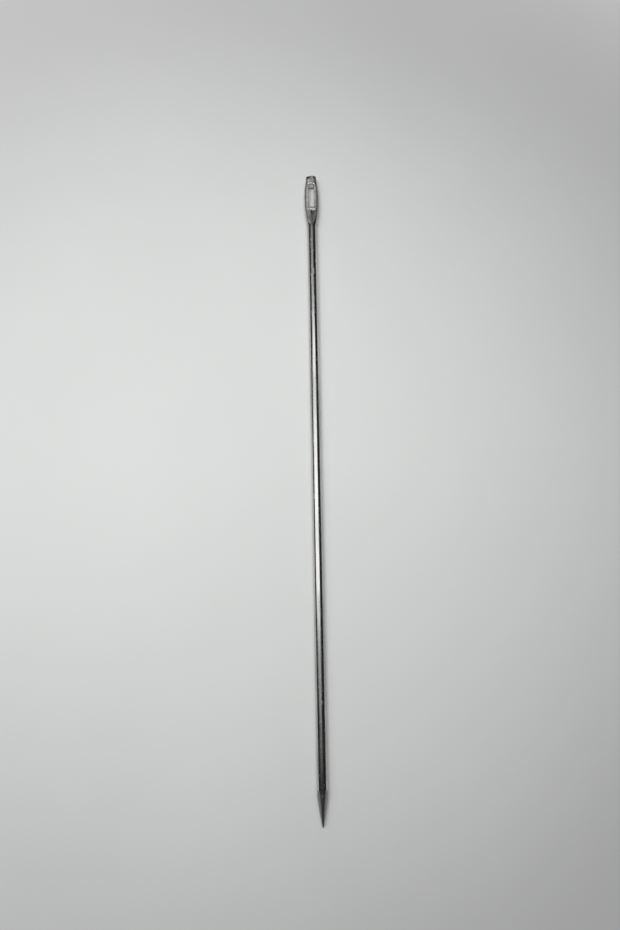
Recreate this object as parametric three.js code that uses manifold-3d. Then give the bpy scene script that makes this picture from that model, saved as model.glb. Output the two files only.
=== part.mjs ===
// A sack needle: one length of round steel wire, flattened and pierced for twine at one end and
// ground to a four-sided point at the other. It lies along Y with the eye at the +Y end, and its
// shank rests on the plane z = 0. Sizes are in millimetres.
//
// The three meshes are the three worked zones of the one wire, named as a needle maker names
// them. Each meets the next on a flat face square to the wire.

import * as THREE from 'three';
import { ConvexGeometry } from 'three/addons/geometries/ConvexGeometry.js';
import { mergeVertices } from 'three/addons/utils/BufferGeometryUtils.js';
import Module from 'manifold-3d';

const wasm = await Module();
wasm.setup();

// The wire
const needleLength = 200;
const wireDiameter = 3.1;
const wireSides = 24;

// The eye: a slot with rounded corners, through the flattened head
const crownLength = 3.1; // metal left between the cropped butt and the eye
const eyeLength = 8.4;
const eyeWidth = 1.8;
const eyeCornerRadius = 0.4;
const cornerSegments = 4; // straight lines in each rounded corner

// The flattened head round the eye
const headWidth = 4.75;
const headThickness = 2.5;
const headSquareness = 2.9; // exponent of the section round the eye, where 2 is an ellipse
const widestFrom = 0.37; // share of the eye's length where the head reaches its full width
const widestTo = 0.89; // share of the eye's length where the head starts to narrow again
const crownFullness = 1.2; // exponent of the swell from the butt, where 1 is a plain sine
const neckLength = 8.3; // from the end of the full width to the plain wire
const neckSquareness = 3.4; // exponent of the neck's section where it is squarest
const squarestAt = 0.5; // share of the neck's change in size that is done by there
const neckRunOut = 3.0; // length over which the neck's flats run out on the wire
const neckCollar = 1.4; // plain wire that belongs to the head, beyond its neck
const headStations = 26;

// The cropped butt
const buttSquareness = 3; // exponent of the butt's section
const cropLean = 3; // degrees out of square, seen from above
const breakAlong = 1.5; // how far the sheared corner runs down the butt's -X side
const breakSlope = 22; // degrees that the sheared corner slopes down

// The countersink round the eye, the same on both faces
const bevelWidth = 0.45;
const bevelDepth = 0.13;
const crownSink = 0.25; // length of the countersink's slope on the butt side
const crownSinkDepth = 0.35; // depth that this slope has reached at the eye

// The gutter on each face, which tapers from near the eye towards the shank
const gutterGap = 1.0; // metal left between the eye and the gutter
const gutterLength = 3.9;
const gutterKeel = 0.15; // from the middle of the head to the gutter's keel, on the +X side
const gutterSteepSide = 0.45; // width on the keel's -X side, where the gutter starts
const gutterFlatSide = 1.2; // width on the keel's +X side, where the gutter starts
const gutterDepth = 0.25; // where it starts

// The ground point, with four facets between ridges that face up, down, left and right
const facetLength = 9.8; // from the tip to where the facets run out on the round wire
const facetSquareness = 3; // exponent of the ground section, where 2 has no ridges at all
const pointCollar = 1.3; // plain wire that belongs to the point, beyond its facets
const tipHalfWidth = 0.17; // from the axis to a facet at the blunt tip
const tipRound = 0.15; // length of the rounding at the tip
const facetBulge = 0.1; // how far a facet's middle stands out from a straight taper
const facetStations = 8;

const sparePast = 1.0; // how far a cutter reaches past what it cuts
const mergeDistance = 1e-5; // points closer than this are one vertex

// Values worked out from the sizes above
const wireRadius = wireDiameter / 2;
const axisHeight = wireRadius;
const buttY = needleLength / 2;
const tipY = -needleLength / 2;
const eyeEnd = crownLength + eyeLength;
const fullWidthStart = crownLength + widestFrom * eyeLength;
const neckStart = crownLength + widestTo * eyeLength;
const neckEnd = neckStart + neckLength;
const cornerX = eyeWidth / 2 - eyeCornerRadius; // middles of the eye's rounded corners
const cornerNearY = buttY - crownLength - eyeCornerRadius;
const cornerFarY = buttY - eyeEnd + eyeCornerRadius;
const headLength = neckEnd + neckCollar;
const pointLength = facetLength + pointCollar;
const roundSection = { halfWidth: wireRadius, halfThickness: wireRadius, squareness: 2 };

const { degToRad, lerp, smoothstep } = THREE.MathUtils;

const steel = { color: 0xa9aaa8, roughness: 0.28, metalness: 1.0 };

// Half width, half thickness and squareness of the head, at a distance from the butt.
function headSection(fromButt) {
  const crownPart = Math.min(fromButt / fullWidthStart, 1);
  const crownSwell = Math.pow(Math.sin((crownPart * Math.PI) / 2), crownFullness);
  const neckShare = smoothstep(fromButt, neckStart, neckEnd);
  const eyeShare = smoothstep(fromButt, 0, crownLength);
  const eyeSquareness = lerp(buttSquareness, headSquareness, eyeShare);
  const squarenessShare = smoothstep(neckShare, 0, squarestAt);
  const flatSquareness = lerp(eyeSquareness, neckSquareness, squarenessShare);
  const roundShare = smoothstep(fromButt, neckEnd - neckRunOut, neckEnd);
  return {
    halfWidth: lerp(wireRadius, headWidth / 2, crownSwell * (1 - neckShare)),
    halfThickness: lerp(headThickness / 2, wireRadius, neckShare),
    squareness: lerp(flatSquareness, 2, roundShare),
  };
}

// One closed ring of points round the axis. A flat side of the ring faces straight down.
function sectionRing(section, y) {
  const power = 2 / section.squareness;
  const cornerReach = Math.pow(Math.cos(Math.PI / wireSides), power);
  const ring = [];
  for (let side = 0; side < wireSides; side += 1) {
    const angle = ((side + 0.5) * 2 * Math.PI) / wireSides;
    const across = Math.sign(Math.cos(angle)) * Math.pow(Math.abs(Math.cos(angle)), power);
    const up = Math.sign(Math.sin(angle)) * Math.pow(Math.abs(Math.sin(angle)), power);
    const x = (across * section.halfWidth) / cornerReach;
    const z = axisHeight + (up * section.halfThickness) / cornerReach;
    ring.push(new THREE.Vector3(x, y, z));
  }
  return ring;
}

// A closed solid through rings that run from -Y to +Y, with a flat cap on each end.
function loft(rings) {
  const positions = [];
  const triangles = [];
  for (const ring of rings) {
    for (const point of ring) positions.push(point.x, point.y, point.z);
  }
  for (let row = 0; row + 1 < rings.length; row += 1) {
    for (let side = 0; side < wireSides; side += 1) {
      const here = row * wireSides + side;
      const next = row * wireSides + ((side + 1) % wireSides);
      triangles.push(here, here + wireSides, next);
      triangles.push(next, here + wireSides, next + wireSides);
    }
  }
  const lastRow = (rings.length - 1) * wireSides;
  for (let side = 1; side + 1 < wireSides; side += 1) {
    triangles.push(0, side, side + 1);
    triangles.push(lastRow, lastRow + side + 1, lastRow + side);
  }
  const geometry = new THREE.BufferGeometry();
  geometry.setAttribute('position', new THREE.Float32BufferAttribute(positions, 3));
  geometry.setIndex(triangles);
  return geometry;
}

// The geometry as a solid for cutting, with its shared vertices merged and slivers dropped.
function toSolid(geometry) {
  const bare = geometry.clone();
  bare.deleteAttribute('normal');
  bare.deleteAttribute('uv');
  const merged = mergeVertices(bare, mergeDistance);
  const triangles = [];
  const index = merged.index.array;
  for (let first = 0; first < index.length; first += 3) {
    const [a, b, c] = index.slice(first, first + 3);
    if (a !== b && b !== c && c !== a) triangles.push(a, b, c);
  }
  return new wasm.Manifold(new wasm.Mesh({
    numProp: 3,
    vertProperties: new Float32Array(merged.attributes.position.array),
    triVerts: new Uint32Array(triangles),
  }));
}

function toGeometry(solid) {
  const mesh = solid.getMesh();
  const geometry = new THREE.BufferGeometry();
  geometry.setAttribute('position', new THREE.Float32BufferAttribute(mesh.vertProperties, 3));
  geometry.setIndex(new THREE.Uint32BufferAttribute(mesh.triVerts, 1));
  geometry.computeVertexNormals();
  return geometry;
}

function steelMesh(name, geometry) {
  const mesh = new THREE.Mesh(geometry, new THREE.MeshStandardMaterial(steel));
  mesh.name = name;
  return mesh;
}

// The head before it is pierced: the wire swells, flattens and ends in a slanted crop.
function headBlank() {
  const rings = [];
  for (let station = headStations; station > 0; station -= 1) {
    const fromButt = (headLength * station) / headStations;
    rings.push(sectionRing(headSection(fromButt), buttY - fromButt));
  }
  const lean = Math.tan(degToRad(cropLean));
  const cropped = sectionRing(headSection(0), buttY);
  for (const point of cropped) point.y -= (wireRadius - point.x) * lean;
  rings.push(cropped);
  return loft(rings);
}

// The slot through the head.
function eyeCutter() {
  const outline = new THREE.Shape();
  outline.absarc(cornerX, cornerNearY, eyeCornerRadius, 0, Math.PI / 2, false);
  outline.absarc(-cornerX, cornerNearY, eyeCornerRadius, Math.PI / 2, Math.PI, false);
  outline.absarc(-cornerX, cornerFarY, eyeCornerRadius, Math.PI, 1.5 * Math.PI, false);
  outline.absarc(cornerX, cornerFarY, eyeCornerRadius, 1.5 * Math.PI, 2 * Math.PI, false);
  const depth = headThickness + 2 * sparePast;
  const slot = new THREE.ExtrudeGeometry(outline, {
    depth,
    bevelEnabled: false,
    curveSegments: cornerSegments / 2, // the extruder gives an arc twice as many
  });
  slot.translate(0, 0, axisHeight - depth / 2);
  return slot;
}

// The countersink on one face: it slopes in all round the eye. The side is 1 for the upper face
// and -1 for the lower.
function countersinkCutter(side) {
  const points = [];

  // One line of the slope: it starts in the eye's wall and climbs until it is clear of the face.
  const slopeLine = (middleX, middleY, angle, run, depth) => {
    const clearReach = eyeCornerRadius + (run * (depth + bevelDepth)) / depth;
    const place = (reach, height) => {
      const x = middleX + reach * Math.cos(angle);
      const y = middleY + reach * Math.sin(angle);
      points.push(new THREE.Vector3(x, y, axisHeight + side * height));
    };
    place(eyeCornerRadius, headThickness / 2 - depth);
    place(clearReach, headThickness / 2 + bevelDepth);
  };
  for (let step = 0; step <= cornerSegments; step += 1) {
    const turn = (step * Math.PI) / 2 / cornerSegments;
    const buttward = Math.sin(turn) ** 2;
    const run = lerp(bevelWidth, crownSink, buttward);
    const depth = lerp(bevelDepth, crownSinkDepth, buttward);
    slopeLine(cornerX, cornerNearY, turn, run, depth);
    slopeLine(-cornerX, cornerNearY, Math.PI - turn, run, depth);
    slopeLine(cornerX, cornerFarY, -turn, bevelWidth, bevelDepth);
    slopeLine(-cornerX, cornerFarY, Math.PI + turn, bevelWidth, bevelDepth);
  }
  return new ConvexGeometry(points);
}

// The gutter on one face: a V whose keel climbs towards the shank until it runs out on the neck.
// The side is 1 for the upper face and -1 for the lower.
function gutterCutter(side) {
  const clearHeight = gutterDepth + sparePast;
  const widening = clearHeight / gutterDepth;
  const points = [];
  const placeSection = (fromButt, depth) => {
    const keelHeight = headSection(fromButt).halfThickness - depth;
    const place = (x, height) => {
      points.push(new THREE.Vector3(x, buttY - fromButt, axisHeight + side * height));
    };
    place(gutterKeel, keelHeight);
    place(gutterKeel + gutterFlatSide * widening, keelHeight + clearHeight);
    place(gutterKeel - gutterSteepSide * widening, keelHeight + clearHeight);
  };
  placeSection(eyeEnd + gutterGap, gutterDepth);
  placeSection(eyeEnd + gutterGap + gutterLength, 0);
  return new ConvexGeometry(points);
}

// What the crop sheared off the butt's corner, on the -X side of the upper face: a block whose
// lower face slopes down from a line across that corner.
function cornerCutter() {
  const outward = new THREE.Vector3(-breakAlong, wireRadius, 0).normalize();
  const slope = degToRad(breakSlope);
  const upright = new THREE.Vector3(0, 0, 1);
  const squareOff = upright.clone().multiplyScalar(Math.cos(slope));
  squareOff.addScaledVector(outward, Math.sin(slope));
  const size = 2 * wireDiameter;
  const block = new THREE.BoxGeometry(size, size, size);
  block.translate(0, 0, size / 2);
  block.applyQuaternion(new THREE.Quaternion().setFromUnitVectors(upright, squareOff));
  block.translate(0, buttY, axisHeight + headThickness / 2);
  return block;
}

function eyeHead() {
  const pierced = toSolid(headBlank())
    .subtract(toSolid(eyeCutter()))
    .subtract(toSolid(countersinkCutter(1)))
    .subtract(toSolid(countersinkCutter(-1)))
    .subtract(toSolid(gutterCutter(1)))
    .subtract(toSolid(gutterCutter(-1)))
    .subtract(toSolid(cornerCutter()));
  return steelMesh('eye_head', toGeometry(pierced));
}

function shank() {
  const towardsPoint = sectionRing(roundSection, tipY + pointLength);
  const towardsEye = sectionRing(roundSection, buttY - headLength);
  return steelMesh('shank', loft([towardsPoint, towardsEye]));
}

// The ground facets as a solid of their own, square in section and turned onto one corner, so
// that a ridge faces straight up. It is wider than the wire beyond the facets.
function facetedTaper() {
  const groundRing = (facetReach, fromTip) => {
    const section = {
      halfWidth: facetReach,
      halfThickness: facetReach,
      squareness: facetSquareness,
    };
    return sectionRing(section, tipY + fromTip);
  };
  const rings = [groundRing(tipHalfWidth / 2, 0)];
  for (let station = 0; station <= facetStations; station += 1) {
    const along = station / facetStations;
    const straight = lerp(tipHalfWidth, wireRadius, along);
    const bulge = 4 * facetBulge * along * (1 - along);
    rings.push(groundRing(straight + bulge, lerp(tipRound, facetLength, along)));
  }
  rings.push(groundRing(wireDiameter, pointLength + sparePast));
  const taper = loft(rings);
  taper.translate(0, 0, -axisHeight);
  taper.rotateY(Math.PI / 4);
  taper.translate(0, 0, axisHeight);
  return taper;
}

function point() {
  const wireEnd = loft([
    sectionRing(roundSection, tipY),
    sectionRing(roundSection, tipY + pointLength),
  ]);
  const ground = toSolid(wireEnd).intersect(toSolid(facetedTaper()));
  return steelMesh('point', toGeometry(ground));
}

const sackNeedle = new THREE.Group();
sackNeedle.name = 'sack_needle';
sackNeedle.add(eyeHead());
sackNeedle.add(shank());
sackNeedle.add(point());

export default sackNeedle;
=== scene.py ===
# A sack needle: one steel wire, pressed flat and pierced at the eye, and ground at the point. The
# eye, the shank and the point are three pieces that meet on plain wire, and their finishes run
# into each other, so that no seam shows.

import math
from types import SimpleNamespace

import bmesh
import bpy
import numpy as np
from mathutils import Matrix, Vector


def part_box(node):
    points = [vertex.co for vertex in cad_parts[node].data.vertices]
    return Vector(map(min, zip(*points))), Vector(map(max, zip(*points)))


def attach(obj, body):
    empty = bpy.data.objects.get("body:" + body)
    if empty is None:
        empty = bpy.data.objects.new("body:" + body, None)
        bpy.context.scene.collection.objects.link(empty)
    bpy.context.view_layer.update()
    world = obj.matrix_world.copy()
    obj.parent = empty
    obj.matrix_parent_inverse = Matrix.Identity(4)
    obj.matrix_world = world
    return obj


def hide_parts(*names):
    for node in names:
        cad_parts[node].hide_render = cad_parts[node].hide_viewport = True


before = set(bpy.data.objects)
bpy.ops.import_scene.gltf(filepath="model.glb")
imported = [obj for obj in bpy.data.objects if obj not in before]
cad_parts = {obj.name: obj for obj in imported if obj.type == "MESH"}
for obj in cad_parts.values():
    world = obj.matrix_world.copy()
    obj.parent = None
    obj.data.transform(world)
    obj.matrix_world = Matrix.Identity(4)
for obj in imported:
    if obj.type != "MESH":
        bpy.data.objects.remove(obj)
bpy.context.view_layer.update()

MM = 0.001

head_low, head_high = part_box("eye_head")
shank_low, shank_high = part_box("shank")
point_low, point_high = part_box("point")

# Places along the needle and sizes of the wire, in millimetres, as the frame has them
BUTT = head_high.y / MM
HEAD_JOINT = head_low.y / MM
POINT_JOINT = point_high.y / MM
TIP = point_low.y / MM
WIRE_RADIUS = (shank_high.x - shank_low.x) / 2 / MM
AXIS_HEIGHT = (shank_high.z + shank_low.z) / 2 / MM
HEAD_HALF_WIDTH = head_high.x / MM

# The eye and the section of the head, in millimetres, with distances counted from the butt
CROWN = 3.1
EYE_LENGTH = 8.4
EYE_HALF_WIDTH = 0.9
EYE_CORNER = 0.4
EYE_END = CROWN + EYE_LENGTH
HEAD_HALF_THICKNESS = 1.25
FULL_WIDTH_FROM = CROWN + 0.37 * EYE_LENGTH
CROWN_FULLNESS = 1.2
NECK_START = CROWN + 0.89 * EYE_LENGTH
NECK_END = NECK_START + 8.3
ROUND_FROM = NECK_START + 4.6
ROUND_BY = NECK_START + 7.6

# How square the section is: 2 is round, and more is squarer
ROUND = 2
BUTT_SQUARENESS = 4.5
HEAD_SQUARENESS = 2.9
NECK_SQUARENESS = 4.4
SQUAREST_AT = 0.5

# The crop across the butt, the flats beside the crown, and the sheared corner with its burr
CROP_LEAN = math.radians(3)
CROP_RISE = 0.06
CROP_RISE_LENGTH = 1.2
SHOULDER_LEFT = 0.7
SHOULDER_RIGHT = 1.0
SHOULDER_SLOPE = math.radians(35)
SHOULDER_FADE = 3.4
BREAK_ALONG = 1.55
BREAK_ACROSS = WIRE_RADIUS + 0.3
BREAK_SLOPE = math.radians(22)
BURR_HEIGHT = 0.1
BURR_LENGTH = 1.5
BURR_WIDTH = 0.28
BURR_ASIDE = 0.95

# The countersink round the eye, deeper at the crown, the gutter towards the shank, and the lip
# round the eye's shank end
BEVEL_WIDTH = 0.45
BEVEL_DEPTH = 0.13
CROWN_SINK = 0.25
CROWN_SINK_DEPTH = 0.35
NECK_SINK_DEPTH = 0.01
CORNER_TURN_POWER = 4
GUTTER_START = EYE_END + 1.0
GUTTER_LENGTH = 3.9
GUTTER_KEEL = 0.15
GUTTER_LEFT = 0.45
GUTTER_RIGHT = 1.2
GUTTER_DEPTH = 0.25
LIP_HEIGHT = 0.02
LIP_WIDTH = 0.5
LIP_REACH = 0.3

# How far the press and the tumbling barrel have rounded the edges and dented the faces
EYE_ROUNDING = 0.11
CROP_ROUNDING = 0.035
DENT_DEPTH = 0.018
DENT_WAVES = 14
DENT_PITCH = (1.2, 3.5)
DENT_FADE_FROM = NECK_START + 2
DENT_SEED = 7

# Where the head's finishes and its painted light and shade start and stop, in millimetres
HOLLOW_FADE = (0.02, 0.3)
BREAK_FADE = (-0.08, 0.06)
UPPER_HALF = (-0.2, 0.2)
CROP_BAND = 0.04
WEAR_HIGHLIGHT_HALF_WIDTH = 0.17
WEAR_HIGHLIGHT_FROM_BREAK = 0.12
FLATTENED_FROM = (0.7 * CROWN, 1.3 * CROWN)
FLATTENED_SIDE = (-0.85 * HEAD_HALF_WIDTH, -0.7 * HEAD_HALF_WIDTH)
NECK_SHADE_START = (GUTTER_START - 0.3, GUTTER_START + 1)
NECK_SHADE_END = (NECK_END - 1, NECK_END)
NECK_SHADE_LEFT = (-HEAD_HALF_WIDTH / 2, 0)
NECK_SHADE_RIGHT = (0.9, 1.6)

# The point, in millimetres, with distances counted from the tip
FACET_LENGTH = 9.8
FACET_SQUARENESS = 3
TIP_HALF_WIDTH = 0.17
TIP_ROUND = 0.15
FACET_BULGE = 0.1
GROUND_EDGE_SHARPNESS = 24
GROUND_FADE = (0.002, 0.03)

# How finely the pieces are made, and limits that keep the head's field smooth
NET_CELL = 0.08
NET_MARGIN = 3 * NET_CELL
SETTLE_ROUNDS = 3
NUDGES_PER_CELL = 20
FLATTEST_SLOPE = 0.1
LOWEST_LEVEL = 0.2
CUT_STEEPNESS = 0.7
NEARLY_ZERO = 1e-6
POINT_SIDES = 144
POINT_RING_STEP = 0.07
SHANK_SIDES = 96
SHANK_RING_STEP = 0.6
SHANK_WAVE = 0.004
WAVES_PER_METRE = 60
WAVE_SEED = 3.0
NOISE_MIDDLE = 0.5
SMOOTH_BELOW = math.radians(50)


def smoothstep(value, start, end):
    share = np.clip((value - start) / (end - start), 0, 1)
    return share * share * (3 - 2 * share)


def smooth_max(a, b, rounding):
    overlap = np.maximum(rounding - np.abs(a - b), 0) / rounding
    return np.maximum(a, b) + overlap * overlap * rounding / 4


def lerp(a, b, share):
    return a + (b - a) * share


# The head as a field: below zero in the steel, and about the distance to its surface in millimetres

def wire_section(from_butt):
    """Half width, half thickness and squareness of the head's section."""
    crown_part = np.clip(from_butt / FULL_WIDTH_FROM, 0, 1)
    crown_swell = np.sin(crown_part * math.pi / 2) ** CROWN_FULLNESS
    neck_share = smoothstep(from_butt, NECK_START, NECK_END)
    half_width = lerp(WIRE_RADIUS, HEAD_HALF_WIDTH, crown_swell * (1 - neck_share))
    half_thickness = lerp(HEAD_HALF_THICKNESS, WIRE_RADIUS, neck_share)
    squareness = lerp(BUTT_SQUARENESS, HEAD_SQUARENESS, smoothstep(from_butt, 0, CROWN))
    squareness = lerp(squareness, NECK_SQUARENESS, smoothstep(neck_share, 0, SQUAREST_AT))
    round_share = smoothstep(from_butt, ROUND_FROM, ROUND_BY)
    return half_width, half_thickness, lerp(squareness, ROUND, round_share)


def body_field(x, from_butt, z):
    """The flattened wire before anything is cut into it."""
    half_width, half_thickness, power = wire_section(from_butt)
    across = np.abs(x) / half_width
    up = np.abs(z) / half_thickness
    level = np.maximum((across ** power + up ** power) ** (1 / power), LOWEST_LEVEL)
    slope_x = (across / level) ** (power - 1) / half_width
    slope_z = (up / level) ** (power - 1) / half_thickness
    return (level - 1) / np.maximum(np.hypot(slope_x, slope_z), LOWEST_LEVEL)


def past_eye_corner(x, from_butt):
    """How far a place lies out from the middles of the eye's rounded corners, in each direction."""
    aside = np.abs(x) - (EYE_HALF_WIDTH - EYE_CORNER)
    endward = np.abs(from_butt - CROWN - EYE_LENGTH / 2) - (EYE_LENGTH / 2 - EYE_CORNER)
    return aside, endward


def slot_field(x, from_butt):
    """The eye: a slot with rounded corners."""
    aside, endward = past_eye_corner(x, from_butt)
    outside = np.hypot(np.maximum(aside, 0), np.maximum(endward, 0))
    return outside + np.minimum(np.maximum(aside, endward), 0) - EYE_CORNER


def bevel_floor(x, from_butt):
    """How far the bevel round the eye lies above the head's face, below zero where it cuts."""
    aside, endward = past_eye_corner(x, from_butt)
    turn = np.arctan2(np.maximum(endward, 0), np.maximum(aside, NEARLY_ZERO))
    end_share = np.sin(turn) ** CORNER_TURN_POWER
    at_crown = from_butt < CROWN + EYE_LENGTH / 2
    run = lerp(BEVEL_WIDTH, CROWN_SINK, end_share * at_crown)
    end_depth = np.where(at_crown, CROWN_SINK_DEPTH, NECK_SINK_DEPTH)
    depth = lerp(BEVEL_DEPTH, end_depth, end_share)
    from_slot = slot_field(x, from_butt)
    return np.maximum((from_slot / run - 1) * depth, from_slot - run)


def gutter_floor(x, from_butt):
    """The same for the gutter: a slanted V that tapers out on the neck."""
    fade = 1 - (from_butt - GUTTER_START) / GUTTER_LENGTH
    beside_keel = x - GUTTER_KEEL
    rise = np.maximum(beside_keel / GUTTER_RIGHT, -beside_keel / GUTTER_LEFT)
    beyond = np.maximum(GUTTER_START - from_butt, from_butt - GUTTER_START - GUTTER_LENGTH)
    return np.maximum(GUTTER_DEPTH * (rise - fade), beyond)


def cut_field(x, from_butt, z):
    """All that is cut into the head: the eye, and the bevel and gutter on both faces."""
    floor = np.minimum(bevel_floor(x, from_butt), gutter_floor(x, from_butt))
    half_thickness = wire_section(from_butt)[1]
    countersink = (half_thickness + floor - np.abs(z)) * CUT_STEEPNESS
    return np.minimum(slot_field(x, from_butt), countersink)


def crop_field(x, from_butt):
    """The slanted crop across the butt."""
    return -from_butt * math.cos(CROP_LEAN) + (WIRE_RADIUS - x) * math.sin(CROP_LEAN)


def rise_field(from_butt):
    """How far the crop lifted the faces where it went through them."""
    return CROP_RISE * np.clip(1 - from_butt / CROP_RISE_LENGTH, 0, 1) ** 2


def past_shoulder(x, from_butt):
    """How far a place lies outside the line where the crown's face meets the flat beside it."""
    shoulder_width = np.where(x < 0, SHOULDER_LEFT, SHOULDER_RIGHT)
    return np.abs(x) - wire_section(from_butt)[0] + shoulder_width


def shoulder_field(x, from_butt, z):
    """The flats that the dies leave along both edges of the crown, fading out beside the eye."""
    above_face = np.abs(z) - wire_section(from_butt)[1]
    past_edge = past_shoulder(x, from_butt)
    flat = past_edge * math.sin(SHOULDER_SLOPE) + above_face * math.cos(SHOULDER_SLOPE)
    return flat - smoothstep(from_butt, SHOULDER_FADE / 2, SHOULDER_FADE) * SHOULDER_RIGHT


def past_break(x, from_butt):
    """How far a place lies beyond the edge of the corner that the crop sheared off."""
    from_corner = (x + WIRE_RADIUS) / BREAK_ACROSS + from_butt / BREAK_ALONG
    return (1 - from_corner) * BREAK_ACROSS * BREAK_ALONG / math.hypot(BREAK_ALONG, BREAK_ACROSS)


def sheared_field(x, from_butt, z):
    """The corner that the crop sheared off, deeper and deeper beyond the break's edge."""
    above_face = z - HEAD_HALF_THICKNESS
    return above_face * math.cos(BREAK_SLOPE) + past_break(x, from_butt) * math.sin(BREAK_SLOPE)


def burr_field(x, from_butt, z):
    """The low ridge that the crop rolled up behind the sheared corner, falling away from it."""
    before_break = -past_break(x, from_butt)
    fall = smoothstep(before_break, 0, BURR_WIDTH) - np.clip(before_break / BURR_LENGTH, 0, 1)
    ridge = np.exp(-(((x + BURR_ASIDE) / BURR_WIDTH) ** 2))
    return BURR_HEIGHT * np.maximum(fall, 0) * ridge * smoothstep(z, 0, HEAD_HALF_THICKNESS / 2)


def dent_field(x, from_butt, z):
    """Shallow unevenness left by the press, fading out on the neck."""
    random = np.random.default_rng(DENT_SEED)
    total = np.zeros_like(x)
    for _ in range(DENT_WAVES):
        pitch = random.uniform(*DENT_PITCH)
        direction = random.normal(size=3)
        direction = direction / np.linalg.norm(direction) * 2 * math.pi / pitch
        phase = random.uniform(0, 2 * math.pi)
        total += np.cos(x * direction[0] + from_butt * direction[1] + z * direction[2] + phase)
    fade = 1 - smoothstep(from_butt, DENT_FADE_FROM, NECK_END)
    return total / math.sqrt(DENT_WAVES) * DENT_DEPTH * fade


def lip_field(x, from_butt):
    """The low lip that the piercing punch pushed up round the shank end of the eye."""
    reach = slot_field(x, from_butt) - LIP_REACH
    past_eye = smoothstep(from_butt, EYE_END - 2 * EYE_HALF_WIDTH, EYE_END)
    return LIP_HEIGHT * np.exp(-((reach / LIP_WIDTH) ** 2)) * past_eye


def head_field(x, y, z):
    from_butt = BUTT - y
    height = z - AXIS_HEIGHT
    body = body_field(x, from_butt, height)
    body = smooth_max(body, shoulder_field(x, from_butt, height), CROP_ROUNDING)
    steel = body + dent_field(x, from_butt, height)
    steel -= lip_field(x, from_butt) + burr_field(x, from_butt, height) + rise_field(from_butt)
    steel = smooth_max(steel, -cut_field(x, from_butt, height), EYE_ROUNDING)
    sheared = sheared_field(x, from_butt, height)
    cropped = smooth_max(crop_field(x, from_butt), sheared, CROP_ROUNDING)
    return smooth_max(steel, cropped, CROP_ROUNDING)


def surface_net(field, low, high, cell):
    """Points and four-sided faces on the zero level of a field, one point in each cell it crosses."""
    counts = [int(math.ceil((b - a) / cell)) for a, b in zip(low, high)]
    axes = [a + cell * np.arange(n + 1) for a, n in zip(low, counts)]
    values = field(*np.meshgrid(*axes, indexing="ij"))
    cell_number = np.arange(math.prod(counts)).reshape(counts)
    total = np.zeros((math.prod(counts), 3))
    hits = np.zeros(math.prod(counts))
    faces = []
    for axis in range(3):
        side, rise = (axis + 1) % 3, (axis + 2) % 3
        start = np.take(values, range(counts[axis]), axis=axis)
        end = np.take(values, range(1, counts[axis] + 1), axis=axis)
        edge = np.argwhere((start < 0) != (end < 0))
        for other in (side, rise):
            edge = edge[(edge[:, other] > 0) & (edge[:, other] < counts[other])]
        start, end = start[tuple(edge.T)], end[tuple(edge.T)]
        place = np.array(low) + cell * edge
        place[:, axis] += cell * start / (start - end)
        ring = []
        for step_side, step_rise in ((0, 0), (1, 0), (1, 1), (0, 1)):
            owner = edge.copy()
            owner[:, side] -= step_side
            owner[:, rise] -= step_rise
            owner = cell_number[tuple(owner.T)]
            np.add.at(total, owner, place)
            np.add.at(hits, owner, 1)
            ring.append(owner)
        ring = np.stack(ring, 1)
        ring[start > 0] = ring[start > 0][:, ::-1]
        faces.append(ring)
    used, faces = np.unique(np.concatenate(faces), return_inverse=True)
    points = total[used] / hits[used][:, None]
    return points, faces.reshape(-1, 4)


def settle_on_surface(points, field, cell):
    """Moves each point along the field's slope until it lies on the surface."""
    nudge = cell / NUDGES_PER_CELL
    for _ in range(SETTLE_ROUNDS):
        slope = np.zeros_like(points)
        for axis in range(3):
            step = np.zeros(3)
            step[axis] = nudge
            slope[:, axis] = (field(*(points + step).T) - field(*(points - step).T)) / (2 * nudge)
        value = field(*points.T)
        move = -slope * (value / np.maximum((slope ** 2).sum(1), FLATTEST_SLOPE))[:, None]
        points = points + np.clip(move, -cell, cell)
    return points


def put_in_scene(name, mesh):
    piece = bpy.data.objects.new(name, mesh)
    bpy.context.scene.collection.objects.link(piece)
    return piece


def new_mesh(name, points, faces):
    mesh = bpy.data.meshes.new(name)
    mesh.from_pydata(points, [], faces)
    mesh.update()
    return mesh


def cap_at(mesh, y, outward):
    """Cuts a mesh square to the wire at y, in millimetres, and closes it with one flat face."""
    work = bmesh.new()
    work.from_mesh(mesh)
    cut = bmesh.ops.bisect_plane(
        work,
        geom=work.verts[:] + work.edges[:] + work.faces[:],
        plane_co=(0, y * MM, 0),
        plane_no=(0, outward, 0),
        clear_outer=True,
    )
    rim = [part for part in cut["geom_cut"] if isinstance(part, bmesh.types.BMEdge)]
    bmesh.ops.contextual_create(work, geom=rim)
    bmesh.ops.recalc_face_normals(work, faces=work.faces[:])
    work.to_mesh(mesh)
    work.free()


def add_mask(mesh, name, values):
    mask = mesh.attributes.new(name, "FLOAT", "POINT")
    mask.data.foreach_set("value", np.asarray(values, np.float32))


def mesh_points(mesh):
    """A mesh's points in millimetres, one to a row."""
    flat = np.empty(len(mesh.vertices) * 3, np.float32)
    mesh.vertices.foreach_get("co", flat)
    return flat.reshape(-1, 3).astype(float) / MM


def smooth_shade(mesh):
    mesh.shade_smooth()
    mesh.set_sharp_from_angle(angle=SMOOTH_BELOW)


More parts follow.
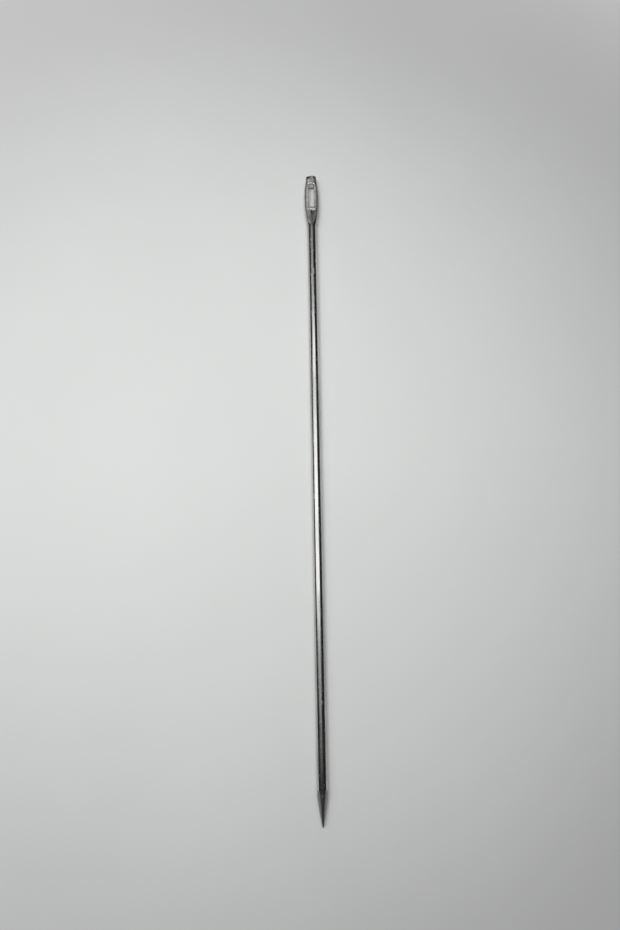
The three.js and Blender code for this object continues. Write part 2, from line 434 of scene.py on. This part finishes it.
def mark_head(mesh):
    """Marks where each of the head's finishes lies, and where its painted light, shade and highlight
    go.
    """
    x, y, z = mesh_points(mesh).T
    from_butt, height = BUTT - y, z - AXIS_HEIGHT
    # The eye's hollows, which get painted light as well as their own roughness
    add_mask(mesh, "hollow", 1 - smoothstep(cut_field(x, from_butt, height), *HOLLOW_FADE))

    # The crop face and the sheared corner, painted near black as shade
    sheared = smoothstep(past_break(x, from_butt), *BREAK_FADE) * smoothstep(height, *UPPER_HALF)
    on_crop = 1 - smoothstep(-crop_field(x, from_butt), 0, CROP_BAND)
    add_mask(mesh, "cropped", np.maximum(on_crop, sheared))

    # Wear along the shoulders and the break's edge, which also carries a painted highlight
    from_shoulder = np.abs(past_shoulder(x, from_butt))
    from_break = np.abs(past_break(x, from_butt) + WEAR_HIGHLIGHT_FROM_BREAK)
    wear_and_highlight = np.exp(-((np.minimum(from_shoulder, from_break) / WEAR_HIGHLIGHT_HALF_WIDTH) ** 2))
    wear_and_highlight *= (1 - smoothstep(from_butt, SHOULDER_FADE / 2, SHOULDER_FADE)) * (1 - sheared)
    wear_and_highlight *= smoothstep(np.abs(height), WIRE_RADIUS / 2, HEAD_HALF_THICKNESS)
    add_mask(mesh, "wear_and_highlight", wear_and_highlight)

    add_mask(mesh, "pressed", 1 - smoothstep(from_butt, NECK_START, NECK_END))
    flattened = smoothstep(from_butt, *FLATTENED_FROM) * smoothstep(x, *FLATTENED_SIDE)
    add_mask(mesh, "flattened", flattened)
    # A patch over the gutter and the neck that is painted darker, as shade
    neck_shade = smoothstep(from_butt, *NECK_SHADE_START) * (1 - smoothstep(from_butt, *NECK_SHADE_END))
    neck_shade *= smoothstep(x, *NECK_SHADE_LEFT) * (1 - smoothstep(x, *NECK_SHADE_RIGHT))
    add_mask(mesh, "neck_shade", neck_shade)


def make_eye_head():
    half_width = HEAD_HALF_WIDTH + NET_MARGIN
    half_height = WIRE_RADIUS + NET_MARGIN
    low = (-half_width, HEAD_JOINT - NET_MARGIN, AXIS_HEIGHT - half_height)
    high = (half_width, BUTT + NET_MARGIN, AXIS_HEIGHT + half_height)
    points, faces = surface_net(head_field, low, high, NET_CELL)
    points = settle_on_surface(points, head_field, NET_CELL)
    mesh = new_mesh("eye_head_steel", (points * MM).tolist(), faces.tolist())
    cap_at(mesh, HEAD_JOINT, -1)
    mark_head(mesh)
    smooth_shade(mesh)
    return put_in_scene("eye_head_steel", mesh)


def point_radius(angle, from_tip):
    """How far the ground point reaches from its axis, in the direction of an angle."""
    along = np.clip(from_tip / FACET_LENGTH, 0, 1)
    facet_reach = lerp(TIP_HALF_WIDTH, WIRE_RADIUS, along) + 4 * FACET_BULGE * along * (1 - along)
    facet_reach = facet_reach + np.maximum(from_tip - FACET_LENGTH, 0)
    tip_part = np.clip(from_tip / TIP_ROUND, 0, 1)
    facet_reach = facet_reach * np.sqrt(1 - (1 - tip_part) ** 2)
    turned = angle + math.pi / 4
    power = FACET_SQUARENESS
    rim = (np.abs(np.cos(turned)) ** power + np.abs(np.sin(turned)) ** power) ** (1 / power)
    ground = facet_reach / rim
    sharpness = GROUND_EDGE_SHARPNESS
    return WIRE_RADIUS / (1 + (WIRE_RADIUS / ground) ** sharpness) ** (1 / sharpness)


def point_faces(rings, sides):
    """Faces between rings of points, a fan round the tip, which comes last, and one flat end."""
    faces = []
    for ring in range(rings - 1):
        for side in range(sides):
            here = ring * sides + side
            beside = ring * sides + (side + 1) % sides
            faces.append((here, beside, beside + sides, here + sides))
    tip = rings * sides
    for side in range(sides):
        faces.append((tip, (side + 1) % sides, side))
    last_ring = (rings - 1) * sides
    faces.append(tuple(range(last_ring, last_ring + sides)))
    return faces


def make_point():
    length = POINT_JOINT - TIP
    rings = int(round(length / POINT_RING_STEP))
    from_tip = length * (np.arange(1, rings + 1) / rings)
    angle = np.arange(POINT_SIDES) * 2 * math.pi / POINT_SIDES
    angle_grid, tip_grid = np.meshgrid(angle, from_tip)
    radius = point_radius(angle_grid, tip_grid)
    radius[-1] = WIRE_RADIUS
    x = radius * np.sin(angle_grid)
    z = AXIS_HEIGHT + radius * np.cos(angle_grid)
    points = np.stack([x, TIP + tip_grid, z], -1).reshape(-1, 3)
    points = np.vstack([points, [0, TIP, AXIS_HEIGHT]])
    mesh = new_mesh("ground_point_steel", (points * MM).tolist(), point_faces(rings, POINT_SIDES))
    ground = smoothstep(1 - radius / WIRE_RADIUS, *GROUND_FADE).reshape(-1)
    add_mask(mesh, "ground", np.append(ground, 1.0))
    smooth_shade(mesh)
    return put_in_scene("ground_point_steel", mesh)


def make_wave_offset(tree, given):
    """A slight waviness of the wire: each point moves in or out along its normal."""
    nodes, links = tree.nodes, tree.links
    noise = nodes.new("ShaderNodeTexNoise")
    noise.noise_dimensions = "4D"
    noise.inputs["Scale"].default_value = WAVES_PER_METRE
    noise.inputs["Detail"].default_value = 1
    links.new(given.outputs["Seed"], noise.inputs["W"])
    centred = nodes.new("ShaderNodeMath")
    centred.operation = "SUBTRACT"
    centred.inputs[1].default_value = NOISE_MIDDLE
    links.new(noise.outputs["Fac"], centred.inputs[0])
    height = nodes.new("ShaderNodeMath")
    height.operation = "MULTIPLY"
    links.new(centred.outputs[0], height.inputs[0])
    links.new(given.outputs["Wave"], height.inputs[1])
    normal = nodes.new("GeometryNodeInputNormal")
    offset = nodes.new("ShaderNodeVectorMath")
    offset.operation = "SCALE"
    links.new(normal.outputs["Normal"], offset.inputs[0])
    links.new(height.outputs[0], offset.inputs["Scale"])
    return offset.outputs["Vector"]


def make_wire_tree(sizes, material):
    """A tree of nodes that gives a line its round section, closed ends and slight waves."""
    tree = bpy.data.node_groups.new("drawn_wire", "GeometryNodeTree")
    for name, (kind, _) in sizes.items():
        tree.interface.new_socket(name, in_out="INPUT", socket_type=kind)
    tree.interface.new_socket("Geometry", in_out="OUTPUT", socket_type="NodeSocketGeometry")
    nodes, links = tree.nodes, tree.links
    given = nodes.new("NodeGroupInput")
    line = nodes.new("GeometryNodeCurvePrimitiveLine")
    links.new(given.outputs["Start"], line.inputs["Start"])
    links.new(given.outputs["End"], line.inputs["End"])
    resample = nodes.new("GeometryNodeResampleCurve")
    links.new(line.outputs["Curve"], resample.inputs["Curve"])
    links.new(given.outputs["Rings"], resample.inputs["Count"])
    circle = nodes.new("GeometryNodeCurvePrimitiveCircle")
    links.new(given.outputs["Sides"], circle.inputs["Resolution"])
    links.new(given.outputs["Radius"], circle.inputs["Radius"])
    sweep = nodes.new("GeometryNodeCurveToMesh")
    sweep.inputs["Fill Caps"].default_value = True
    links.new(resample.outputs["Curve"], sweep.inputs["Curve"])
    links.new(circle.outputs["Curve"], sweep.inputs["Profile Curve"])
    wave = nodes.new("GeometryNodeSetPosition")
    links.new(sweep.outputs["Mesh"], wave.inputs["Geometry"])
    links.new(make_wave_offset(tree, given), wave.inputs["Offset"])
    realize = nodes.new("GeometryNodeRealizeInstances")
    links.new(wave.outputs["Geometry"], realize.inputs["Geometry"])
    finish = nodes.new("GeometryNodeSetMaterial")
    finish.inputs["Material"].default_value = material
    links.new(realize.outputs["Geometry"], finish.inputs["Geometry"])
    result = nodes.new("NodeGroupOutput")
    links.new(finish.outputs["Geometry"], result.inputs["Geometry"])
    return tree


def make_shank(material):
    """The plain wire between the two worked ends."""
    sizes = {
        "Start": ("NodeSocketVector", (0, POINT_JOINT * MM, AXIS_HEIGHT * MM)),
        "End": ("NodeSocketVector", (0, HEAD_JOINT * MM, AXIS_HEIGHT * MM)),
        "Radius": ("NodeSocketFloat", WIRE_RADIUS * MM),
        "Sides": ("NodeSocketInt", SHANK_SIDES),
        "Rings": ("NodeSocketInt", int((HEAD_JOINT - POINT_JOINT) / SHANK_RING_STEP)),
        "Wave": ("NodeSocketFloat", SHANK_WAVE * MM),
        "Seed": ("NodeSocketFloat", WAVE_SEED),
    }
    tree = make_wire_tree(sizes, material)
    source = put_in_scene("wire_seed", bpy.data.meshes.new("wire_seed"))
    modifier = source.modifiers.new("drawn_wire", "NODES")
    modifier.node_group = tree
    for name, (_, value) in sizes.items():
        modifier[tree.interface.items_tree[name].identifier] = value
    graph = bpy.context.evaluated_depsgraph_get()
    mesh = bpy.data.meshes.new_from_object(source.evaluated_get(graph))
    bpy.data.objects.remove(source)
    mesh.name = "shank_steel"
    smooth_shade(mesh)
    return put_in_scene("shank_steel", mesh)


# Patterns on object coordinates, with how many fit in a metre along X, Y and Z, their turn about Z,
# how fine they go, and, where they make a mask, the span of the noise that it runs over

DRAWN_LINE = {"stretch": (9000, 35, 9000), "turn": 0, "detail": 3}
DRAWN_BAND = {"stretch": (1800, 9, 1800), "turn": 0, "detail": 2}
RISING_SCRATCH = {"stretch": (1500, 260, 1500), "turn": 0.5, "detail": 2, "span": (0.66, 0.72)}
FALLING_SCRATCH = {"stretch": (1300, 300, 1300), "turn": -0.7, "detail": 2, "span": (0.67, 0.73)}
PITTED_PATCH = {"stretch": (420, 120, 420), "turn": 0, "detail": 2, "span": (0.55, 0.62)}
TARNISH_PATCH = {"stretch": (260, 60, 260), "turn": 0, "detail": 4, "span": (0.4, 0.68)}
TARNISH_CLOUD = {"stretch": (900, 700, 900), "turn": 0, "detail": 4, "span": (0.35, 0.7)}
GRINDING_MARK = {"stretch": (700, 9000, 700), "turn": 0.12, "detail": 3, "span": (0.35, 0.65)}
PAPER_FIBRE = {"stretch": (900, 700, 900), "turn": 0.4, "detail": 5}
PAPER_CLOUD = {"stretch": (14, 11, 14), "turn": 0.2, "detail": 3, "span": (0.3, 0.7)}
PITS_PER_METRE = 1400
PIT_EDGE = (0.06, 0.16)


def remap(tree, value, low, high, to_low=0.0, to_high=1.0):
    node = tree.nodes.new("ShaderNodeMapRange")
    node.interpolation_type = "SMOOTHSTEP"
    node.inputs["From Min"].default_value = low
    node.inputs["From Max"].default_value = high
    node.inputs["To Min"].default_value = to_low
    node.inputs["To Max"].default_value = to_high
    tree.links.new(value, node.inputs["Value"])
    return node.outputs["Result"]


def stretched_noise(tree, place, stretch, turn, detail, span=None):
    """Noise with its own scale along each axis and a turn about Z, as a mask if it has a span."""
    mapping = tree.nodes.new("ShaderNodeMapping")
    mapping.inputs["Rotation"].default_value = (0, 0, turn)
    mapping.inputs["Scale"].default_value = stretch
    tree.links.new(place, mapping.inputs["Vector"])
    noise = tree.nodes.new("ShaderNodeTexNoise")
    noise.inputs["Scale"].default_value = 1
    noise.inputs["Detail"].default_value = detail
    tree.links.new(mapping.outputs["Vector"], noise.inputs["Vector"])
    if span is None:
        return noise.outputs["Fac"]
    return remap(tree, noise.outputs["Fac"], *span)


def set_or_link(tree, socket, value):
    """Gives a socket a number or colour of its own, or another socket's value."""
    if isinstance(value, bpy.types.NodeSocket):
        tree.links.new(value, socket)
    elif isinstance(value, tuple):
        socket.default_value = (*value, 1)
    else:
        socket.default_value = value


def arithmetic(tree, operation, first, second):
    node = tree.nodes.new("ShaderNodeMath")
    node.operation = operation
    set_or_link(tree, node.inputs[0], first)
    set_or_link(tree, node.inputs[1], second)
    return node.outputs[0]


def mix(tree, kind, share, first, second):
    node = tree.nodes.new("ShaderNodeMix")
    node.data_type = kind
    tree.links.new(share, node.inputs["Factor"])
    set_or_link(tree, node.inputs["A"], first)
    set_or_link(tree, node.inputs["B"], second)
    return node.outputs["Result"]


def mix_colour(tree, share, first, second):
    return mix(tree, "RGBA", share, first, second)


def mix_value(tree, share, first, second):
    return mix(tree, "FLOAT", share, first, second)


def attribute(tree, name):
    node = tree.nodes.new("ShaderNodeAttribute")
    node.attribute_name = name
    return node.outputs["Fac"]


# Effects that all three finishes share

def new_effect(name, outputs):
    """A new shader node group that turns a place into masks, with the two ends to join inside it."""
    group = bpy.data.node_groups.new(name, "ShaderNodeTree")
    group.interface.new_socket("Vector", in_out="INPUT", socket_type="NodeSocketVector")
    for label in outputs:
        group.interface.new_socket(label, in_out="OUTPUT", socket_type="NodeSocketFloat")
    place = group.nodes.new("NodeGroupInput").outputs["Vector"]
    return group, place, group.nodes.new("NodeGroupOutput")


def make_drawn_lines():
    """Fine lines along the wire, from the die that it was drawn through."""
    group, place, result = new_effect("drawn_lines", ("Lines", "Bands"))
    group.links.new(stretched_noise(group, place, **DRAWN_LINE), result.inputs["Lines"])
    group.links.new(stretched_noise(group, place, **DRAWN_BAND), result.inputs["Bands"])
    return group


def make_handling_marks():
    """Sparse hair scratches at two slants, and small pits."""
    group, place, result = new_effect("handling_marks", ("Scratches", "Pits"))
    rising = stretched_noise(group, place, **RISING_SCRATCH)
    falling = stretched_noise(group, place, **FALLING_SCRATCH)
    scratches = arithmetic(group, "MAXIMUM", rising, falling)
    group.links.new(scratches, result.inputs["Scratches"])
    cells = group.nodes.new("ShaderNodeTexVoronoi")
    cells.inputs["Scale"].default_value = PITS_PER_METRE
    group.links.new(place, cells.inputs["Vector"])
    spots = remap(group, cells.outputs["Distance"], *PIT_EDGE, to_low=1, to_high=0)
    pits = arithmetic(group, "MULTIPLY", spots, stretched_noise(group, place, **PITTED_PATCH))
    group.links.new(pits, result.inputs["Pits"])
    return group


def make_tarnish():
    """Slow patches of duller, slightly darker steel."""
    group, place, result = new_effect("tarnish", ("Patches", "Cloud"))
    group.links.new(stretched_noise(group, place, **TARNISH_PATCH), result.inputs["Patches"])
    group.links.new(stretched_noise(group, place, **TARNISH_CLOUD), result.inputs["Cloud"])
    return group


EFFECTS = (make_drawn_lines(), make_handling_marks(), make_tarnish())

# Finishes: what each kind of steel reflects, how rough it is, and how far its marks stand out, with
# some colours that paint in light and shade

BRIGHT_STEEL = (0.60, 0.60, 0.59)
DULL_STEEL = (0.44, 0.44, 0.43)
DARK_STEEL = (0.20, 0.20, 0.195)
# Burnished wear, made brighter than steel can be: a painted highlight along the worn edges
BURNISHED_HIGHLIGHT_STEEL = (0.95, 0.95, 0.94)
# Lighter steel in the eye, its bevels and the gutter: painted light in the hollows
HOLLOW_PAINTED_LIGHT = (0.68, 0.68, 0.67)
# Darker steel over the gutter and the neck: painted shade
NECK_PAINTED_SHADE = (0.31, 0.31, 0.305)
# Near-black paint on the crop face and the sheared corner: painted shade, on rough sheared steel
SHEARED_PAINTED_SHADE = (0.02, 0.02, 0.02)
# Darker steel on the point's facets: painted shade
GROUND_PAINTED_SHADE = (0.34, 0.34, 0.335)

BRIGHT_ROUGHNESS = 0.17
DULL_ROUGHNESS = 0.24
SCRATCH_ROUGHNESS = 0.34
CROWN_ROUGHNESS = 0.28
SATIN_ROUGHNESS = (0.42, 0.54)
HOLLOW_ROUGHNESS = 0.34
SHEARED_ROUGHNESS = 0.7
SHEARED_METAL = 0.3
GROUND_ROUGHNESS = (0.28, 0.4)

LINE_RELIEF = 0.6
SCRATCH_RELIEF = 0.5
GRAIN_RELIEF = 3.0
GRINDING_RELIEF = 2.5
RELIEF_DEPTH = 0.0000006


def bright_steel(name):
    """A new material of bright drawn steel, with its parts at hand for a further finish."""
    material = bpy.data.materials.new(name)
    material.use_nodes = True
    tree = material.node_tree
    tree.nodes.clear()
    place = tree.nodes.new("ShaderNodeTexCoord").outputs["Object"]
    marks = {}
    for group in EFFECTS:
        node = tree.nodes.new("ShaderNodeGroup")
        node.node_tree = group
        tree.links.new(place, node.inputs["Vector"])
        marks.update(node.outputs.items())
    shader = tree.nodes.new("ShaderNodeBsdfPrincipled")
    shader.inputs["Metallic"].default_value = 1
    output = tree.nodes.new("ShaderNodeOutputMaterial")
    tree.links.new(shader.outputs["BSDF"], output.inputs["Surface"])
    colour = mix_colour(tree, marks["Patches"], BRIGHT_STEEL, DULL_STEEL)
    colour = mix_colour(tree, marks["Pits"], colour, DARK_STEEL)
    roughness = mix_value(tree, marks["Patches"], BRIGHT_ROUGHNESS, DULL_ROUGHNESS)
    roughness = mix_value(tree, marks["Scratches"], roughness, SCRATCH_ROUGHNESS)
    lines = arithmetic(tree, "MULTIPLY", marks["Lines"], LINE_RELIEF)
    height = arithmetic(tree, "ADD", lines, marks["Bands"])
    scratches = arithmetic(tree, "MULTIPLY", marks["Scratches"], SCRATCH_RELIEF)
    height = arithmetic(tree, "SUBTRACT", height, scratches)
    return SimpleNamespace(
        material=material,
        tree=tree,
        place=place,
        marks=marks,
        shader=shader,
        colour=colour,
        roughness=roughness,
        height=height,
    )


def finished(steel):
    """Joins a steel's colour, roughness and relief to its shader."""
    links = steel.tree.links
    bump = steel.tree.nodes.new("ShaderNodeBump")
    bump.inputs["Strength"].default_value = 1
    bump.inputs["Distance"].default_value = RELIEF_DEPTH
    links.new(steel.height, bump.inputs["Height"])
    links.new(steel.colour, steel.shader.inputs["Base Color"])
    links.new(steel.roughness, steel.shader.inputs["Roughness"])
    links.new(bump.outputs["Normal"], steel.shader.inputs["Normal"])
    return steel.material


def make_drawn_steel():
    return finished(bright_steel("drawn_steel"))


def make_pressed_steel():
    """Satin where the dies pressed, burnished at worn edges under a painted highlight, with painted
    light in the eye's hollows, painted shade over the gutter and neck, and near-black painted shade
    where the crop sheared.
    """
    steel = bright_steel("pressed_steel")
    tree = steel.tree
    cloud = steel.marks["Cloud"]
    pressed = attribute(tree, "pressed")
    hollow = attribute(tree, "hollow")
    cropped = attribute(tree, "cropped")
    grain = arithmetic(tree, "MULTIPLY", cloud, pressed)

    colour = mix_colour(tree, grain, steel.colour, DULL_STEEL)
    # Burnished wear with a painted highlight on it
    colour = mix_colour(tree, attribute(tree, "wear_and_highlight"), colour, BURNISHED_HIGHLIGHT_STEEL)
    # Painted shade, near black, on the crop face and the sheared corner
    colour = mix_colour(tree, cropped, colour, SHEARED_PAINTED_SHADE)
    # Painted light in the eye's hollows
    colour = mix_colour(tree, hollow, colour, HOLLOW_PAINTED_LIGHT)
    # Painted shade over the gutter and the neck
    steel.colour = mix_colour(tree, attribute(tree, "neck_shade"), colour, NECK_PAINTED_SHADE)

    satin = mix_value(tree, cloud, *SATIN_ROUGHNESS)
    satin = mix_value(tree, attribute(tree, "flattened"), CROWN_ROUGHNESS, satin)
    roughness = mix_value(tree, pressed, steel.roughness, satin)
    roughness = mix_value(tree, hollow, roughness, HOLLOW_ROUGHNESS)
    steel.roughness = mix_value(tree, cropped, roughness, SHEARED_ROUGHNESS)
    tree.links.new(mix_value(tree, cropped, 1.0, SHEARED_METAL), steel.shader.inputs["Metallic"])

    grain_relief = arithmetic(tree, "MULTIPLY", grain, GRAIN_RELIEF)
    steel.height = arithmetic(tree, "ADD", steel.height, grain_relief)
    return finished(steel)


def make_ground_steel():
    """Duller steel with fine stripes across the facets, from the grinding wheel, and painted shade
    darkening the facets.
    """
    steel = bright_steel("ground_steel")
    tree = steel.tree
    ground = attribute(tree, "ground")
    stripes = stretched_noise(tree, steel.place, **GRINDING_MARK)
    # Painted shade on the ground facets
    steel.colour = mix_colour(tree, ground, steel.colour, GROUND_PAINTED_SHADE)
    striped = mix_value(tree, stripes, *GROUND_ROUGHNESS)
    steel.roughness = mix_value(tree, ground, steel.roughness, striped)
    relief = arithmetic(tree, "MULTIPLY", stripes, GRINDING_RELIEF)
    steel.height = mix_value(tree, ground, steel.height, relief)
    return finished(steel)


def dress(piece, node):
    """Puts a piece in the place of its CAD node, on the needle's one body."""
    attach(piece, "root")
    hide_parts(node)


# The studio: pale paper, a soft window of light overhead from three lamps, and a dim room round it

PAPER = (0.852, 0.868, 0.857)
PAPER_CLOUDING = 0.97
CLOUDED_PAPER = tuple(channel * PAPER_CLOUDING for channel in PAPER)
PAPER_ROUGHNESS = 0.75
PAPER_SPECULAR = 0.25
FIBRE_DEPTH = 0.00004
FIBRE_STRENGTH = 0.6
PAPER_HALF_SIZE = 6.0
POOL_MIDDLE = (-0.048, 0.007)
POOL_REACH = (0.294, 0.26)
POOL_EDGE = 0.55
FAR_PAPER_FROM = 0.12
FAR_PAPER_BY = 0.27
FAR_PAPER_GLOW = 0.64
LIGHT_HEIGHT = 0.6
SOFT_LIGHT = {"left": -0.80, "right": 0.25, "front": -0.075, "back": 0.325, "radiance": 1.45}
CORE_LIGHT = {"left": -0.30, "right": 0.13, "front": -0.06, "back": 0.31, "radiance": 3.6}
SPILL_LIGHT = {"left": -0.50, "right": 0.12, "front": -0.20, "back": 0.50, "radiance": 0.35}
ROOM_RADIUS = 3.0
ROOM_RIM = math.radians(4)
ROOM_RINGS = 24
ROOM_SIDES = 48
ROOM_GLOW = 0.018
BACKDROP = 0.86
FILL = 0.11


def make_pool_edge(tree, place):
    """How much painted shade darkens the paper away from the middle of the pool of light."""
    mapping = tree.nodes.new("ShaderNodeMapping")
    mapping.vector_type = "TEXTURE"
    mapping.inputs["Location"].default_value = (*POOL_MIDDLE, 0)
    mapping.inputs["Scale"].default_value = (*POOL_REACH, 1)
    tree.links.new(place, mapping.inputs["Vector"])
    square = tree.nodes.new("ShaderNodeVectorMath")
    square.operation = "DOT_PRODUCT"
    tree.links.new(mapping.outputs["Vector"], square.inputs[0])
    tree.links.new(mapping.outputs["Vector"], square.inputs[1])
    levelled = tree.nodes.new("ShaderNodeMath")
    levelled.operation = "SMOOTH_MIN"
    levelled.inputs[1].default_value = POOL_EDGE
    levelled.inputs[2].default_value = POOL_EDGE / 2
    tree.links.new(square.outputs["Value"], levelled.inputs[0])
    return levelled.outputs[0]


def seen_directly(tree):
    """One for what the camera sees or the steel mirrors, and zero for light that falls on a surface."""
    path = tree.nodes.new("ShaderNodeLightPath")
    seen = arithmetic(tree, "MAXIMUM", path.outputs["Is Camera Ray"], path.outputs["Is Glossy Ray"])
    return arithmetic(tree, "MAXIMUM", seen, path.outputs["Is Transmission Ray"])


def lighten_far_paper(tree, place, shader):
    """Keeps the paper pale where it runs out of the lamps' reach."""
    distance = tree.nodes.new("ShaderNodeVectorMath")
    distance.operation = "LENGTH"
    tree.links.new(place, distance.inputs[0])
    away = remap(tree, distance.outputs["Value"], FAR_PAPER_FROM, FAR_PAPER_BY)
    glow = tree.nodes.new("ShaderNodeEmission")
    glow.inputs["Strength"].default_value = FAR_PAPER_GLOW
    blend = tree.nodes.new("ShaderNodeMixShader")
    tree.links.new(arithmetic(tree, "MULTIPLY", away, seen_directly(tree)), blend.inputs[0])
    tree.links.new(shader.outputs["BSDF"], blend.inputs[1])
    tree.links.new(glow.outputs["Emission"], blend.inputs[2])
    tree.links.new(blend.outputs["Shader"], tree.nodes["Material Output"].inputs["Surface"])


def make_paper():
    corner = PAPER_HALF_SIZE
    points = [(-corner, -corner, 0), (corner, -corner, 0), (corner, corner, 0), (-corner, corner, 0)]
    mesh = new_mesh("paper", points, [(0, 1, 2, 3)])
    material = bpy.data.materials.new("paper")
    material.use_nodes = True
    tree = material.node_tree
    shader = tree.nodes["Principled BSDF"]
    shader.inputs["Roughness"].default_value = PAPER_ROUGHNESS
    shader.inputs["Specular IOR Level"].default_value = PAPER_SPECULAR
    place = tree.nodes.new("ShaderNodeTexCoord").outputs["Object"]
    clouds = stretched_noise(tree, place, **PAPER_CLOUD)
    tone = mix_colour(tree, clouds, PAPER, CLOUDED_PAPER)
    # Painted shade: the paper darkens towards black away from the pool of light
    tone = mix_colour(tree, make_pool_edge(tree, place), tone, (0, 0, 0))
    tree.links.new(tone, shader.inputs["Base Color"])
    bump = tree.nodes.new("ShaderNodeBump")
    bump.inputs["Distance"].default_value = FIBRE_DEPTH
    bump.inputs["Strength"].default_value = FIBRE_STRENGTH
    tree.links.new(stretched_noise(tree, place, **PAPER_FIBRE), bump.inputs["Height"])
    tree.links.new(bump.outputs["Normal"], shader.inputs["Normal"])
    lighten_far_paper(tree, place, shader)
    mesh.materials.append(material)
    put_in_scene("paper", mesh)


def make_light(name, extent):
    """A level rectangle of light that faces down, and that the camera doesn't see."""
    lamp = bpy.data.lights.new(name, "AREA")
    lamp.shape = "RECTANGLE"
    lamp.size = extent["right"] - extent["left"]
    lamp.size_y = extent["back"] - extent["front"]
    lamp.energy = extent["radiance"] * math.pi * lamp.size * lamp.size_y
    holder = put_in_scene(name, lamp)
    middle_x = (extent["left"] + extent["right"]) / 2
    middle_y = (extent["front"] + extent["back"]) / 2
    holder.location = (middle_x, middle_y, LIGHT_HEIGHT)
    holder.visible_camera = False


def make_dim_room():
    """A dim dome that the steel mirrors. The camera looks through it to the pale backdrop."""
    points, faces = [], []
    for ring in range(ROOM_RINGS):
        lift = lerp(ROOM_RIM, math.pi / 2, ring / ROOM_RINGS)
        for side in range(ROOM_SIDES):
            turn = side * 2 * math.pi / ROOM_SIDES
            flat = math.cos(lift) * ROOM_RADIUS
            points.append((flat * math.cos(turn), flat * math.sin(turn), math.sin(lift) * ROOM_RADIUS))
    top = len(points)
    points.append((0, 0, ROOM_RADIUS))
    for ring in range(ROOM_RINGS):
        for side in range(ROOM_SIDES):
            here = ring * ROOM_SIDES + side
            beside = ring * ROOM_SIDES + (side + 1) % ROOM_SIDES
            if ring < ROOM_RINGS - 1:
                faces.append((here, here + ROOM_SIDES, beside + ROOM_SIDES, beside))
            else:
                faces.append((here, top, beside))
    mesh = new_mesh("dim_room", points, faces)
    material = bpy.data.materials.new("dim_room")
    material.use_nodes = True
    tree = material.node_tree
    tree.nodes.clear()
    glow = tree.nodes.new("ShaderNodeEmission")
    glow.inputs["Strength"].default_value = ROOM_GLOW
    output = tree.nodes.new("ShaderNodeOutputMaterial")
    tree.links.new(glow.outputs["Emission"], output.inputs["Surface"])
    mesh.materials.append(material)
    dome = put_in_scene("dim_room", mesh)
    dome.visible_camera = False
    dome.visible_diffuse = False
    dome.visible_shadow = False


def make_backdrop():
    """A pale world, which the camera and the steel see past the paper's edge."""
    world = bpy.data.worlds.new("backdrop")
    bpy.context.scene.world = world
    world.use_nodes = True
    tree = world.node_tree
    tree.nodes.clear()
    strength = mix_value(tree, seen_directly(tree), FILL, BACKDROP)
    background = tree.nodes.new("ShaderNodeBackground")
    tree.links.new(strength, background.inputs["Strength"])
    background.inputs["Color"].default_value = (1, 1, 1, 1)
    output = tree.nodes.new("ShaderNodeOutputWorld")
    tree.links.new(background.outputs["Background"], output.inputs["Surface"])


# The camera: low over the needle, tipped towards the eye and turned a little

CAMERA_HEIGHT = 0.18843
CAMERA_TILT = math.radians(11)
CAMERA_TURN = math.radians(0.945)
FOOT_ACROSS = -0.00199
FOOT_ALONG = -0.0347
FOCAL_PIXELS = 622.06
FRAME_PIXELS = 930
SENSOR = 36
NEAREST = 0.01
FARTHEST = 50


def make_camera():
    camera = bpy.data.cameras.new("camera")
    camera.sensor_width = SENSOR
    camera.lens = SENSOR * FOCAL_PIXELS / FRAME_PIXELS
    camera.clip_start = NEAREST
    camera.clip_end = FARTHEST
    holder = put_in_scene("camera", camera)
    heading = Matrix.Rotation(-CAMERA_TURN, 4, "Z")
    holder.location = heading @ Vector((FOOT_ACROSS, FOOT_ALONG, CAMERA_HEIGHT))
    holder.rotation_euler = (CAMERA_TILT, 0, -CAMERA_TURN)
    bpy.context.scene.camera = holder


bpy.context.scene.view_settings.view_transform = "Standard"

make_camera()
make_paper()
make_light("soft_light", SOFT_LIGHT)
make_light("core_light", CORE_LIGHT)
make_light("spill_light", SPILL_LIGHT)
make_dim_room()
make_backdrop()

eye_head = make_eye_head()
eye_head.data.materials.append(make_pressed_steel())
dress(eye_head, "eye_head")

shank = make_shank(make_drawn_steel())
dress(shank, "shank")

ground_point = make_point()
ground_point.data.materials.append(make_ground_steel())
dress(ground_point, "point")
